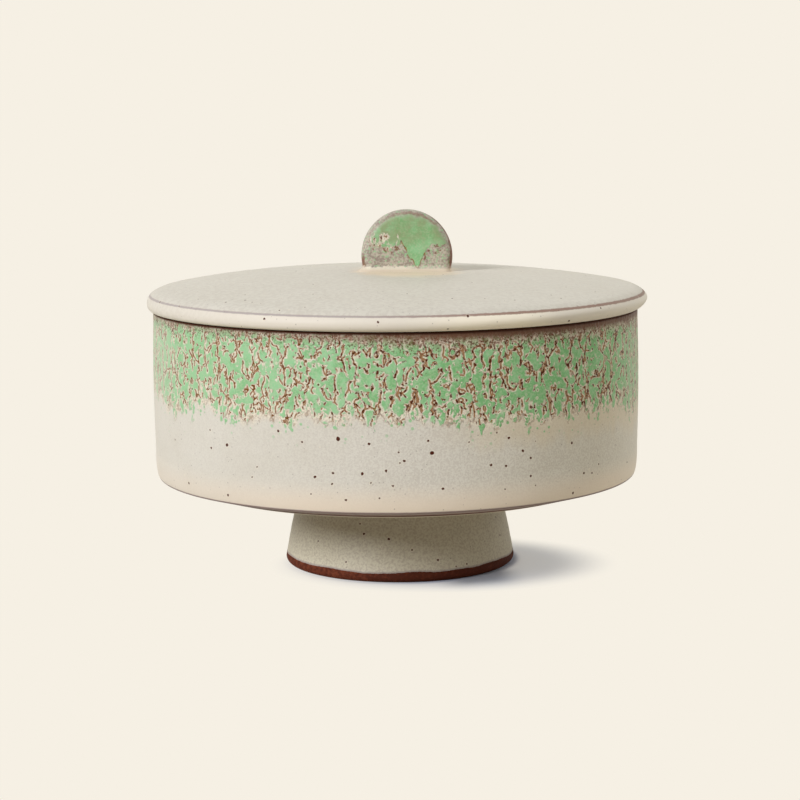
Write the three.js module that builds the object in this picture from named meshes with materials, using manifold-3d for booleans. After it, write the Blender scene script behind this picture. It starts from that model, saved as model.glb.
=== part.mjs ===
// A lidded stoneware bowl for sweets: a wide basin on a flared foot, and a domed lid with an upright round knob.
// Millimetres. +Z is up, the front is towards -Y, and the origin is the middle of the foot's base, on the table.
import * as THREE from "three";
import { mergeVertices } from "three/addons/utils/BufferGeometryUtils.js";
import Module from "manifold-3d";

// Basin
const BASIN_RADIUS = 70.4;          // outer radius of the straight wall
const BASIN_HEIGHT = 51.4;          // from the flat of the underside to the rim
const BASIN_WALL = 5.0;
const BASIN_FLOOR = 6.0;
const BASIN_TUCK = 1.0;             // how far the wall draws in at its foot
const BASIN_TUCK_RISE = 5.9;        // and from how high above its lower edge
const BASIN_UNDERCUT_RISE = 3.3;    // the wall's lower edge stands that much above the flat
const BASIN_UNDERCUT_RADIUS = 57.7; // where the sloping underside meets the flat
const BASIN_SWEEP_RADIUS = 9.0;     // inside, where the wall runs down into the floor
const BASIN_LIP_RADIUS = 1.0;       // the rim's inner and outer edges

// Foot
const FOOT_HEIGHT = 23.9;
const FOOT_TOP_RADIUS = 28.9;
const FOOT_BASE_RADIUS = 33.6;
const FOOT_WALL = 5.5;
const FOOT_EDGE_RADIUS = 1.7;       // the outer edge of the resting ring
const FOOT_BORE_EDGE_RADIUS = 1.0;  // and its inner edge
const FOOT_COVE_RADIUS = 1.0;       // the smoothed seam under the basin

// Lid
const LID_OVERHANG = 2.1;           // past the basin's wall
const LID_LOWER_EDGE_SPREAD = 2.4;  // the rounding under the widest line
const LID_LOWER_EDGE_RISE = 2.2;
const LID_SHOULDER_SPREAD = 6.0;    // the rounding over the widest line
const LID_SHOULDER_RISE = 3.9;
const LID_SHOULDER_TURN = 73;       // degrees of that rounding, before the dome takes over
const LID_DOME_RISE = 4.3;          // from the shoulder to the crown
const LID_THICKNESS = 5.0;          // at the crown

// Locating ring under the lid
const RING_PLAY = 1.2;              // between the ring and the basin's inner wall, all round
const RING_WALL = 4.0;
const RING_DEPTH = 7.0;             // how far the ring reaches down into the basin
const RING_EDGE_RADIUS = 1.4;

// Knob
const KNOB_RADIUS = 13.2;
const KNOB_THICKNESS = 8.6;
const KNOB_EDGE_RADIUS = 2.6;
const KNOB_STAND = 17.6;            // from the lid's crown to the knob's top
const KNOB_OFFSET = 3.0;            // set by hand, a little to the right of the lid's middle
const KNOB_FILLET = 2.0;            // the thumbed-down clay where it joins the lid
const SLIP_JOINT = 0.3;             // the layer of slip that the knob is luted with

// Facets
const ROUND_STEPS = 88;             // round the basin and the lid
const FOOT_STEPS = 64;
const KNOB_STEPS = 48;
const ARC_STEPS = 6;                // for a quarter turn
const DOME_STEPS = 8;
const FILLET_STEPS = 5;
const CORNER_STEPS = 4;             // round each corner of the knob's fillet
const HALF_PI = Math.PI / 2;
const SHOULDER_TURN = THREE.MathUtils.degToRad(LID_SHOULDER_TURN);

// Places that follow from the sizes
const RIM_Z = FOOT_HEIGHT + BASIN_HEIGHT;
const BORE_RADIUS = BASIN_RADIUS - BASIN_WALL;
const LID_RADIUS = BASIN_RADIUS + LID_OVERHANG;
const LID_WIDEST_Z = RIM_Z + LID_LOWER_EDGE_RISE;
const SHOULDER_CENTRE = LID_RADIUS - LID_SHOULDER_SPREAD;
const DOME_RADIUS = SHOULDER_CENTRE + LID_SHOULDER_SPREAD * Math.cos(SHOULDER_TURN);
const DOME_EDGE_Z = LID_WIDEST_Z + LID_SHOULDER_RISE * Math.sin(SHOULDER_TURN);
const CROWN_Z = DOME_EDGE_Z + LID_DOME_RISE;
// The dome leaves the shoulder without a crease, which settles how flat its middle is.
const DOME_EDGE_SLOPE = LID_SHOULDER_RISE / (LID_SHOULDER_SPREAD * Math.tan(SHOULDER_TURN));
const DOME_POWER = (DOME_EDGE_SLOPE * DOME_RADIUS) / LID_DOME_RISE;
const RING_OUTER = BORE_RADIUS - RING_PLAY;
const RING_INNER = RING_OUTER - RING_WALL;
const KNOB_CENTRE_Z = CROWN_Z + KNOB_STAND - KNOB_RADIUS;

// Points on part of an ellipse in the (radius, height) plane, from one angle to another.
function ellipseArc(r, z, spread, rise, from, to, steps = ARC_STEPS) {
  return Array.from({ length: steps + 1 }, (_, i) => {
    const angle = from + ((to - from) * i) / steps;
    return new THREE.Vector2(r + spread * Math.cos(angle), z + rise * Math.sin(angle));
  });
}

function arc(r, z, radius, from, to, steps = ARC_STEPS) {
  return ellipseArc(r, z, radius, radius, from, to, steps);
}

// Points along a shallow dome, from its edge to the crown: nearly flat in the middle, steeper to the edge.
function dome(edgeRadius, edgeZ, rise, steps = DOME_STEPS) {
  return Array.from({ length: steps + 1 }, (_, i) => {
    const share = 1 - i / steps;
    return new THREE.Vector2(edgeRadius * share, edgeZ + rise * (1 - share ** DOME_POWER));
  });
}

// A profile turned round the vertical axis. It runs anticlockwise in the (radius, height) plane.
function turned(profile, steps) {
  const geometry = new THREE.LatheGeometry(profile, steps);
  geometry.rotateX(HALF_PI);
  return geometry;
}

// The same for a profile that never meets the axis: it is closed on itself.
function turnedRing(profile, steps) {
  return turned([...profile, profile[0].clone()], steps);
}

function basinGeometry() {
  const tuckR = BASIN_RADIUS - BASIN_TUCK;
  const tuckZ = FOOT_HEIGHT + BASIN_UNDERCUT_RISE + BASIN_TUCK_RISE;
  const floorZ = FOOT_HEIGHT + BASIN_FLOOR;
  const lipZ = RIM_Z - BASIN_LIP_RADIUS;
  const sweepR = BORE_RADIUS - BASIN_SWEEP_RADIUS;
  return turned([
    new THREE.Vector2(0, FOOT_HEIGHT),
    new THREE.Vector2(BASIN_UNDERCUT_RADIUS, FOOT_HEIGHT),
    ...ellipseArc(tuckR, tuckZ, BASIN_TUCK, BASIN_TUCK_RISE, -HALF_PI, 0),
    ...arc(BASIN_RADIUS - BASIN_LIP_RADIUS, lipZ, BASIN_LIP_RADIUS, 0, HALF_PI, 3),
    ...arc(BORE_RADIUS + BASIN_LIP_RADIUS, lipZ, BASIN_LIP_RADIUS, HALF_PI, Math.PI, 3),
    ...arc(sweepR, floorZ + BASIN_SWEEP_RADIUS, BASIN_SWEEP_RADIUS, 0, -HALF_PI),
    new THREE.Vector2(0, floorZ),
  ], ROUND_STEPS);
}

function footGeometry() {
  const coveZ = FOOT_HEIGHT - FOOT_COVE_RADIUS;
  const baseR = FOOT_BASE_RADIUS - FOOT_EDGE_RADIUS;
  const boreBase = FOOT_BASE_RADIUS - FOOT_WALL + FOOT_BORE_EDGE_RADIUS;
  return turnedRing([
    ...arc(baseR, FOOT_EDGE_RADIUS, FOOT_EDGE_RADIUS, -HALF_PI, 0, 4),
    ...arc(FOOT_TOP_RADIUS + FOOT_COVE_RADIUS, coveZ, FOOT_COVE_RADIUS, Math.PI, HALF_PI, 3),
    new THREE.Vector2(FOOT_TOP_RADIUS - FOOT_WALL, FOOT_HEIGHT),
    ...arc(boreBase, FOOT_BORE_EDGE_RADIUS, FOOT_BORE_EDGE_RADIUS, Math.PI, 3 * HALF_PI, 4),
  ], FOOT_STEPS);
}

function lidGeometry() {
  const hollowRise = CROWN_Z - LID_THICKNESS - RIM_Z;
  const lowerCentre = LID_RADIUS - LID_LOWER_EDGE_SPREAD;
  const shoulder = ellipseArc(
    SHOULDER_CENTRE, LID_WIDEST_Z, LID_SHOULDER_SPREAD, LID_SHOULDER_RISE, 0, SHOULDER_TURN);
  return turned([
    ...dome(RING_INNER, RIM_Z, hollowRise).reverse(),
    ...ellipseArc(lowerCentre, LID_WIDEST_Z, LID_LOWER_EDGE_SPREAD, LID_LOWER_EDGE_RISE, -HALF_PI, 0, 5),
    ...shoulder.slice(1, -1),
    ...dome(DOME_RADIUS, DOME_EDGE_Z, LID_DOME_RISE),
  ], ROUND_STEPS);
}

function ringGeometry() {
  const edgeZ = RIM_Z - RING_DEPTH + RING_EDGE_RADIUS;
  return turnedRing([
    new THREE.Vector2(RING_OUTER, RIM_Z),
    new THREE.Vector2(RING_INNER, RIM_Z),
    ...arc(RING_INNER + RING_EDGE_RADIUS, edgeZ, RING_EDGE_RADIUS, Math.PI, 3 * HALF_PI, 3),
    ...arc(RING_OUTER - RING_EDGE_RADIUS, edgeZ, RING_EDGE_RADIUS, -HALF_PI, 0, 3),
  ], ROUND_STEPS);
}

const wasm = await Module();
wasm.setup();

function toSolid(geometry) {
  const bare = geometry.clone();
  bare.deleteAttribute("normal");
  bare.deleteAttribute("uv");
  const merged = mergeVertices(bare, 1e-5);
  return new wasm.Manifold(new wasm.Mesh({
    numProp: 3,
    vertProperties: new Float32Array(merged.attributes.position.array),
    triVerts: new Uint32Array(merged.index.array),
  }));
}

function toGeometry(solid) {
  const mesh = solid.getMesh();
  const geometry = new THREE.BufferGeometry();
  geometry.setAttribute("position", new THREE.BufferAttribute(mesh.vertProperties, 3));
  geometry.setIndex(new THREE.BufferAttribute(mesh.triVerts, 1));
  geometry.computeVertexNormals();
  return geometry;
}

// The knob before it is cut to the lid: a thick round tab that stands on its edge and faces the front.
function knobDisc() {
  const half = KNOB_THICKNESS / 2;
  const rimR = KNOB_RADIUS - KNOB_EDGE_RADIUS;
  const rimZ = half - KNOB_EDGE_RADIUS;
  const disc = turned([
    new THREE.Vector2(0, -half),
    ...arc(rimR, -rimZ, KNOB_EDGE_RADIUS, -HALF_PI, 0, 5),
    ...arc(rimR, rimZ, KNOB_EDGE_RADIUS, 0, HALF_PI, 5),
    new THREE.Vector2(0, half),
  ], KNOB_STEPS);
  disc.rotateX(HALF_PI);
  disc.translate(KNOB_OFFSET, 0, KNOB_CENTRE_Z);
  return disc;
}

// The knob's flared root: rounded oblongs stacked upwards, whose sides draw in along a quarter circle.
function knobFillet() {
  const bottom = CROWN_Z - KNOB_FILLET;
  const top = CROWN_Z + SLIP_JOINT + KNOB_FILLET;
  const levels = [{ z: bottom, flare: KNOB_FILLET }];
  for (let i = 0; i <= FILLET_STEPS; i += 1) {
    const angle = (HALF_PI * i) / FILLET_STEPS;
    levels.push({
      z: top - KNOB_FILLET * Math.cos(angle),
      flare: KNOB_FILLET * (1 - Math.sin(angle)),
    });
  }
  const sections = levels.map(({ z, flare }) => {
    const chord = Math.sqrt(KNOB_RADIUS ** 2 - (Math.max(z, CROWN_Z) - KNOB_CENTRE_Z) ** 2);
    return oblong(chord + flare, KNOB_THICKNESS / 2 + flare, KNOB_EDGE_RADIUS + flare, z);
  });
  const fillet = loft(sections);
  fillet.translate(KNOB_OFFSET, 0, 0);
  return fillet;
}

// A rectangle with rounded corners at one height, anticlockwise seen from above.
function oblong(halfX, halfY, corner, z) {
  const points = [];
  for (let quarter = 0; quarter < 4; quarter += 1) {
    const sideX = quarter === 0 || quarter === 3 ? 1 : -1;
    const sideY = quarter < 2 ? 1 : -1;
    for (let i = 0; i <= CORNER_STEPS; i += 1) {
      const angle = HALF_PI * (quarter + i / CORNER_STEPS);
      const x = sideX * (halfX - corner) + corner * Math.cos(angle);
      const y = sideY * (halfY - corner) + corner * Math.sin(angle);
      points.push(new THREE.Vector3(x, y, z));
    }
  }
  return points;
}

// A closed skin over stacked rings of points, with a flat fan at each end.
function loft(sections) {
  const count = sections[0].length;
  const points = sections.flat();
  const faces = [];
  for (let level = 0; level + 1 < sections.length; level += 1) {
    for (let i = 0; i < count; i += 1) {
      const a = level * count + i;
      const b = level * count + ((i + 1) % count);
      faces.push(a, b, b + count, a, b + count, a + count);
    }
  }
  const last = points.length - count;
  for (let i = 1; i + 1 < count; i += 1) {
    faces.push(0, i + 1, i);
    faces.push(last, last + i, last + i + 1);
  }
  const geometry = new THREE.BufferGeometry().setFromPoints(points);
  geometry.setIndex(faces);
  return geometry;
}

// What the knob is cut by: the lid's dome raised by the slip, with everything under it.
function domeCutter() {
  const top = dome(DOME_RADIUS, DOME_EDGE_Z + SLIP_JOINT, LID_DOME_RISE, 4 * DOME_STEPS);
  return turned([
    new THREE.Vector2(0, RIM_Z),
    new THREE.Vector2(DOME_RADIUS, RIM_Z),
    ...top,
  ], ROUND_STEPS);
}

function knobGeometry() {
  const whole = toSolid(knobDisc()).add(toSolid(knobFillet()));
  return toGeometry(whole.subtract(toSolid(domeCutter())));
}

// Glazes
const GLAZES = {
  speckledCream: { color: 0xcdc5b2, roughness: 0.5, metalness: 0 },
  greenOverCream: { color: 0x9fb88a, roughness: 0.45, metalness: 0 },
};

function piece(name, geometry, glaze) {
  const mesh = new THREE.Mesh(geometry, new THREE.MeshStandardMaterial(GLAZES[glaze]));
  mesh.name = name;
  return mesh;
}

const bowl = new THREE.Group();
bowl.add(piece("bowl_basin", basinGeometry(), "greenOverCream"));
bowl.add(piece("pedestal_foot", footGeometry(), "speckledCream"));

const lid = new THREE.Group();
lid.add(piece("lid_plate", lidGeometry(), "speckledCream"));
lid.add(piece("lid_locating_ring", ringGeometry(), "speckledCream"));
lid.add(piece("lid_knob", knobGeometry(), "greenOverCream"));

const group = new THREE.Group();
group.add(bowl, lid);

export default group;
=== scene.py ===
"""A lidded stoneware bowl for sweets on a flared foot: speckled cream, and a green glaze that has run."""
import math

import bmesh
import bpy
import numpy as np
from mathutils import Matrix, Vector


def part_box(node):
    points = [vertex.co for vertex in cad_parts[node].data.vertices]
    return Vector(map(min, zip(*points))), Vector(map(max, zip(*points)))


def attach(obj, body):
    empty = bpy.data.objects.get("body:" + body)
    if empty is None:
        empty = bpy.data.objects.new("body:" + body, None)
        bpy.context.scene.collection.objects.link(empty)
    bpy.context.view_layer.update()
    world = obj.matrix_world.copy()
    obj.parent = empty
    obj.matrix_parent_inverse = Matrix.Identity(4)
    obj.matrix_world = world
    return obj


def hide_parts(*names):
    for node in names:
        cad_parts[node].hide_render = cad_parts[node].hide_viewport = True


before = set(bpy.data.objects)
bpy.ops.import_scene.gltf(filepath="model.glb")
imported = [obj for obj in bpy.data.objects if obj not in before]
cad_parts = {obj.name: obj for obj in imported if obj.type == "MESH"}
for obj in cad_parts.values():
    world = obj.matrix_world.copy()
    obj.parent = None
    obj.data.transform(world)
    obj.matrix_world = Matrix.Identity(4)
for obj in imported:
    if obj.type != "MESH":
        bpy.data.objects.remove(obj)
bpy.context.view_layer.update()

MM = 0.001
QUARTER = math.pi / 2

# Sizes that the frame gives
BASIN_LOW, BASIN_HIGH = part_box("bowl_basin")
_, FOOT_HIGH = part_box("pedestal_foot")
_, LID_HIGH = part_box("lid_plate")
RING_LOW, RING_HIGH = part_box("lid_locating_ring")
_, KNOB_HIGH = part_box("lid_knob")
BASIN_RADIUS = BASIN_HIGH[0]
UNDERSIDE_Z = BASIN_LOW[2]
RIM_Z = BASIN_HIGH[2]
FOOT_BASE_RADIUS = FOOT_HIGH[0]
FOOT_TOP_Z = FOOT_HIGH[2]
LID_RADIUS = LID_HIGH[0]
CROWN_Z = LID_HIGH[2]
RING_OUTER = RING_HIGH[0]
RING_LOW_Z = RING_LOW[2]
KNOB_TOP_Z = KNOB_HIGH[2]

# Sizes that the frame's boxes don't give, as in the part's source
BASIN_WALL = 5.0 * MM
BASIN_FLOOR = 6.0 * MM
BASIN_TUCK = 1.0 * MM
BASIN_TUCK_RISE = 5.9 * MM
UNDERCUT_RISE = 3.3 * MM
UNDERCUT_RADIUS = 57.7 * MM
SWEEP_RADIUS = 9.0 * MM
LIP_RADIUS = 1.0 * MM
FOOT_TOP_RADIUS = 28.9 * MM
FOOT_WALL = 5.5 * MM
FOOT_EDGE = 1.7 * MM
FOOT_BORE_EDGE = 1.0 * MM
FOOT_COVE = 1.0 * MM
LOWER_EDGE_SPREAD = 2.4 * MM
LOWER_EDGE_RISE = 2.2 * MM
SHOULDER_SPREAD = 6.0 * MM
SHOULDER_RISE = 3.9 * MM
SHOULDER_TURN = math.radians(73)
LID_THICKNESS = 5.0 * MM
RING_WALL = 4.0 * MM
RING_EDGE = 1.4 * MM
KNOB_RADIUS = 13.2 * MM
KNOB_THICKNESS = 8.6 * MM
KNOB_EDGE = 2.6 * MM
KNOB_OFFSET = 3.0 * MM
KNOB_FILLET = 2.0 * MM
KNOB_SUNK = 0.08 * MM

# Thrown by hand: the basin and the foot stand a little off the lid's axis, the wall swells and draws in
# towards its rim, its lower corner hangs a little, the lid is thinner on the right, the knob's root flares
# more to the left, and shallow rings run round every turned surface
BASIN_ASIDE = -0.5 * MM
FOOT_ASIDE = 0.25 * MM
WALL_DRAWN_IN = 0.15 * MM
WALL_SWELL = 0.35 * MM
CORNER_HANG = 0.3 * MM
UNDERCUT_SPREAD = 1.2 * MM
FOOT_SWELL = 0.35 * MM
LID_LEAN = 0.0019
LEAN_Z = 79.0 * MM
LEAN_FROM = 70.6 * MM
LOWER_EDGE_LEAN = 1.6
FLARE_LEFT = 1.15
FLARE_RIGHT = 0.25
THROWN_DEPTH = 0.05 * MM

BORE_RADIUS = BASIN_RADIUS - BASIN_WALL
LIP_Z = RIM_Z - LIP_RADIUS
COVE_Z = FOOT_TOP_Z - FOOT_COVE
CORNER_Z = UNDERSIDE_Z + UNDERCUT_RISE - CORNER_HANG
TUCK_Z = UNDERSIDE_Z + UNDERCUT_RISE + BASIN_TUCK_RISE
RING_INNER = RING_OUTER - RING_WALL
LID_WIDEST_Z = RIM_Z + LOWER_EDGE_RISE
SHOULDER_CENTRE = LID_RADIUS - SHOULDER_SPREAD
DOME_RADIUS = SHOULDER_CENTRE + SHOULDER_SPREAD * math.cos(SHOULDER_TURN)
DOME_EDGE_Z = LID_WIDEST_Z + SHOULDER_RISE * math.sin(SHOULDER_TURN)
DOME_RISE = CROWN_Z - DOME_EDGE_Z
DOME_EDGE_SLOPE = SHOULDER_RISE / (SHOULDER_SPREAD * math.tan(SHOULDER_TURN))
DOME_POWER = DOME_EDGE_SLOPE * DOME_RADIUS / DOME_RISE
KNOB_CENTRE_Z = KNOB_TOP_Z - KNOB_RADIUS

# The photograph's camera, fitted to the outlines of the lid, the basin and the foot; its turns are in degrees
IMAGE_SIDE = 800
CAMERA_DISTANCE = 637.7 * MM
CAMERA_HEIGHT = 139.54 * MM
CAMERA_ASIDE = 0.62 * MM
CAMERA_TILT = 8.23
CAMERA_ROLL = -0.5
FOCAL_PIXELS = 2195.3
SENSOR = 36.0

# A line of sight to a speck, in metres: how far from the camera it starts, the y where it ends, and its steps
SIGHT_START = 0.45
SIGHT_END = 0.1
SIGHT_STEP = 0.05 * MM

# The share of a speck's width that is dark, and a distance in mm that is past every speck
SPECK_SHARE = 0.88
NO_SPECK = 9.0


def srgb(red, green, blue):
    """A colour written in 0 to 255, as Blender's linear colour."""
    def linear(value):
        value /= 255
        return value / 12.92 if value <= 0.04045 else ((value + 0.055) / 1.055) ** 2.4
    return (linear(red), linear(green), linear(blue), 1.0)


# Colours of the glazes, the clay and the backdrop, and of the light and shade painted on the glazes
CREAM = srgb(218, 213, 200)
CREAM_DEEP = srgb(210, 204, 189)
WARM_CREAM = srgb(216, 198, 164)
# Yellower cream: painted warm shade, on the foot and on the basin's shaded right
WARM_SHADE_CREAM = srgb(212, 205, 178)
# Paler creams on the lid's face: painted light, and a painted highlight at its front right
RIM_PAINTED_LIGHT = srgb(229, 220, 204)
RIM_PAINTED_HIGHLIGHT = srgb(250, 240, 218)
HALO = srgb(232, 222, 200)
MAUVE = srgb(192, 176, 158)
PEACH = srgb(230, 214, 192)
PEACH_DEEP = srgb(220, 203, 178)
PEACH_PALE = srgb(236, 218, 190)
GREEN = srgb(122, 180, 118)
GREEN_PALE = srgb(152, 202, 150)
GREEN_WORN = srgb(176, 198, 158)
OLIVE_BROWN = srgb(138, 86, 16)
RED_BROWN = srgb(80, 34, 0)
SPECK_BROWN = srgb(74, 28, 10)
SCORCH_DARK = srgb(118, 80, 58)
SCORCH_DEEP = srgb(106, 72, 54)
SCORCH_PALE = srgb(196, 178, 160)
BREAK_GREY = srgb(168, 154, 150)
BREAK_RED = srgb(136, 96, 78)
BARE_RIM = srgb(70, 38, 24)
KNOB_GREY = srgb(190, 181, 162)
KNOB_MAUVE = srgb(146, 132, 120)
KNOB_OLIVE = srgb(146, 154, 114)
KNOB_BREAK = srgb(120, 66, 46)
CLAY = srgb(116, 58, 36)
CLAY_DARK = srgb(80, 34, 18)
BACKDROP = srgb(246, 240, 228)

# How strongly every surface mirrors, and how rough each is
SPECULAR = 0.2
CREAM_ROUGHNESS = 0.50
GREEN_ROUGHNESS = 0.44
KNOB_ROUGHNESS = 0.46
CLAY_ROUGHNESS = 0.82

# Where the glazes lie on the basin, in mm: inwards from the wall, up from the corner, down from the rim
OUTER_SKIN = 2.0
BLUSH_FADED = 9.5
BLUSH_FULL = 1.5
BAND_SHALLOW = 22.0
BAND_DEEP = 28.0
BARE_RIM_WIDTH = 1.1
UNDERCUT_INSIDE = 56.5

# How a glaze, and the light and shade painted on it, change from left to right: from one x to another in mm,
# and from one share, width or height to another, which are 0 and 1 where they aren't given. BASIN_TURNED_AWAY
# counts x to both sides.
BASIN_GRAIN = (-55.0, 45.0, 0.06, 0.18)
BASIN_BLUSH = (-60.0, -20.0, 0.5, 0.85)
# Painted warm shade on the basin's right
BASIN_WARM_SHADE = (5.0, 50.0)
BASIN_WARMER = (5.0, 35.0)
BASIN_TURNED_AWAY = (58.0, 69.0)
BAND_SHORTER = (15.0, 48.0, 0.0, 2.2)
GREEN_TONE = (-45.0, 40.0, 0.45, -0.50)
LINE_TONE = (-45.0, 0.0, 0.45, 1.0)
LINE_WEIGHT = (-45.0, 10.0, 0.90, 1.25)
SCORCH_REACH = (-30.0, 6.0, -0.6, 1.3)
SCORCH_AT_RIM = (-40.0, 20.0, 0.15, 0.95)
LID_GRAIN = (-20.0, 40.0, 0.20, 0.15)
# Painted light on the lid's face, less of it on the left
LID_FACE_LIGHT_SHARE = (-72.0, -30.0, 0.4, 1.0)
LID_BREAK_TONE = (-20.0, 35.0)
LID_BREAK_WIDTH = (0.0, 40.0, 0.34, 0.44)
# Painted shade on the clay, darker towards the right
CLAY_PAINTED_SHADE = (-18.0, 0.0, 0.0, 0.6)

# On the lid, in mm: the arris where the glaze breaks, and how far the peach reaches from the knob
ARRIS_Z = LID_WIDEST_Z / MM + 1.94
PEACH_ACROSS = KNOB_RADIUS / MM + 3.5
PEACH_ALONG = KNOB_RADIUS / MM + 10.0

# On the foot, in mm: the lowest and highest end of the glaze
FOOT_GLAZE_LOW = 2.6
FOOT_GLAZE_HIGH = 3.5

# The green on the knob, in mm: the height of its edge, and its two runs, each as how far it stands aside from
# the middle, the height of its lower end, and how fast it widens
KNOB_GREEN_EDGE = 6.9
KNOB_LEFT_RUN = (-5.2, 5.0, 1.1)
KNOB_RIGHT_RUN = (2.9, 0.7, 1.55)

# The plainest specks of the front: across and down in the photograph, in pixels, and the radius there, in mm
WALL_SPECKS = ((210, 430, 0.26), (211, 448, 0.32), (227, 445, 0.52), (278, 431, 0.34), (302, 442, 0.30),
               (338, 439, 0.62), (369, 444, 0.38), (404, 461, 0.36), (386, 471, 0.36), (362, 474, 0.42),
               (333, 473, 0.36), (315, 477, 0.40), (332, 484, 0.26), (371, 483, 0.24), (393, 486, 0.34),
               (257, 467, 0.24), (252, 477, 0.24), (189, 483, 0.32), (228, 495, 0.38), (311, 494, 0.24),
               (346, 500, 0.36), (428, 441, 0.38), (432, 453, 0.56), (469, 442, 0.26), (443, 489, 0.36),
               (491, 465, 0.38), (509, 438, 0.34), (506, 466, 0.32), (523, 451, 0.40), (531, 458, 0.34),
               (531, 476, 0.34), (505, 489, 0.26), (572, 443, 0.42), (584, 473, 0.38), (592, 473, 0.26),
               (599, 464, 0.32), (573, 493, 0.36), (627, 462, 0.26))
LID_SPECKS = ((160, 302, 0.36), (226, 302, 0.36), (245, 300, 0.34), (264, 319, 0.34), (305, 307, 0.26),
              (313, 294, 0.26), (378, 322, 0.34), (452, 298, 0.30), (468, 316, 0.36), (561, 298, 0.30),
              (569, 321, 0.32), (601, 308, 0.32))
FOOT_SPECKS = ((364, 534, 0.38), (389, 539, 0.36), (438, 560, 0.40), (412, 550, 0.26), (467, 564, 0.28),
               (500, 535, 0.28), (496, 517, 0.26), (318, 541, 0.24), (346, 562, 0.24), (360, 524, 0.22))

# The floor's shadow, in mm: an oval that thins out by the foot, and its deepest part at the front right,
# which is painted
SHADOW_MIDDLE = (13.0, -7.0)
SHADOW_SPREAD = (52.0, 40.0)
SHADOW_DEPTH = 0.68
SHADOW_BY_FOOT = 2.4
DEEPEST_LEFT = (8.0, 20.0)
DEEPEST_RIGHT = (37.0, 27.0)
DEEPEST_BACK = (-12.0, -22.0)
DEEPEST_REACH = (13.0, 2.0)
DEEPEST_SHARE = 0.45

# The floor's reach in metres, its colours as the camera and the bowl see them, and the grey of its painted
# shadow
FLOOR_REACH = 3.0
FLOOR_SEEN = srgb(218, 226, 240)
FLOOR_PAINTED_SHADOW = srgb(124, 124, 126)
FLOOR_BOUNCE = srgb(200, 192, 176)

# The room's light from behind, from above and from the right, what the glaze mirrors, and the key light with
# its turns and width in degrees
ROOM_BEHIND = 1.70
ROOM_ABOVE = 1.04
ROOM_RIGHT = 1.75
ROOM_TINT = (1.0, 1.0, 0.98, 1.0)
MIRRORED = 0.85
KEY_POWER = 2.66
KEY_COLOUR = (1.0, 1.015, 1.08)
KEY_ELEVATION = 26.5
KEY_TURN = -47
KEY_WIDTH = 19

# Where each of the room's lights begins and is full, as parts of the direction
BEHIND_AWAY = (0.0, 0.75)
BEHIND_UP = (-0.05, 0.0)
BEHIND_FADED = (0.3, 0.8, 1.0, 0.5)
ABOVE_UP = (0.30, 0.68)
ABOVE_RIGHT = (-0.35, 0.45)
BESIDE_UP = (0.08, 0.45)
BESIDE_RIGHT = (0.55, 0.95)


# Node helpers

def feed(tree, socket, value):
    """Links another node's output to the socket, or sets its value."""
    if isinstance(value, bpy.types.NodeSocket):
        tree.links.new(value, socket)
    elif value is not None:
        socket.default_value = value


def node(tree, kind, inputs=(), **settings):
    """A new node of that kind, with its inputs fed by name or number and its settings made."""
    made = tree.nodes.new(kind)
    for name, value in settings.items():
        setattr(made, name, value)
    for key, value in dict(inputs).items():
        feed(tree, made.inputs[key], value)
    return made


def calc(tree, operation, *values, clamp=False):
    made = node(tree, "ShaderNodeMath", enumerate(values), operation=operation, use_clamp=clamp)
    return made.outputs[0]


def product(tree, *values):
    result = values[0]
    for value in values[1:]:
        result = calc(tree, "MULTIPLY", result, value)
    return result


def rest_of(tree, share):
    """What that share leaves of 1."""
    return calc(tree, "SUBTRACT", 1.0, share)


def vector_calc(tree, operation, a, b=None, scale=None):
    made = node(tree, "ShaderNodeVectorMath", {0: a, 1: b}, operation=operation)
    if scale is not None:
        feed(tree, made.inputs["Scale"], scale)
    return made.outputs["Value" if operation in ("LENGTH", "DISTANCE", "DOT_PRODUCT") else "Vector"]


def ramp(tree, value, low, high, to_low=0.0, to_high=1.0, smooth=True):
    """The value's place between low and high, as a number from to_low to to_high."""
    kind = "SMOOTHSTEP" if smooth else "LINEAR"
    made = node(tree, "ShaderNodeMapRange",
                {0: value, 1: low, 2: high, 3: to_low, 4: to_high}, interpolation_type=kind)
    return made.outputs[0]


def noise(tree, position, size, detail=2.0, roughness=0.5, colour=False):
    """Noise with features of about that size, in the position's own units."""
    fixed = isinstance(size, (int, float))
    made = node(tree, "ShaderNodeTexNoise", {
        "Vector": position, "Scale": 1.0 / size if fixed else calc(tree, "DIVIDE", 1.0, size),
        "Detail": detail, "Roughness": roughness})
    return made.outputs["Color" if colour else "Fac"]


def blend(tree, factor, a, b):
    """Colour a where the factor is 0, and colour b where it is 1."""
    made = node(tree, "ShaderNodeMix", {0: factor, 6: a, 7: b}, data_type="RGBA")
    return made.outputs[2]


def coat(tree, colour, tone, *shares):
    """The colour under a coat of the tone, as strong as the product of the shares."""
    return blend(tree, product(tree, *shares), colour, tone)


def axis_parts(tree, vector):
    made = node(tree, "ShaderNodeSeparateXYZ", {0: vector})
    return made.outputs[0], made.outputs[1], made.outputs[2]


def joined(tree, x, y, z):
    return node(tree, "ShaderNodeCombineXYZ", {0: x, 1: y, 2: z}).outputs[0]


def moved(tree, position, by):
    """The position moved aside, where a noise is another one than at the position itself."""
    return vector_calc(tree, "ADD", position, by)


def position_in_mm(tree):
    """The place on the object, in millimetres."""
    coordinates = node(tree, "ShaderNodeTexCoord").outputs["Object"]
    return vector_calc(tree, "SCALE", coordinates, scale=1 / MM)


def empty_tree(owner):
    """The node tree of a material or a world, with nothing in it."""
    owner.use_nodes = True
    owner.node_tree.nodes.clear()
    return owner.node_tree


def mixed_shaders(tree, share, a, b):
    return node(tree, "ShaderNodeMixShader", {0: share, 1: a.outputs[0], 2: b.outputs[0]})


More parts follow.
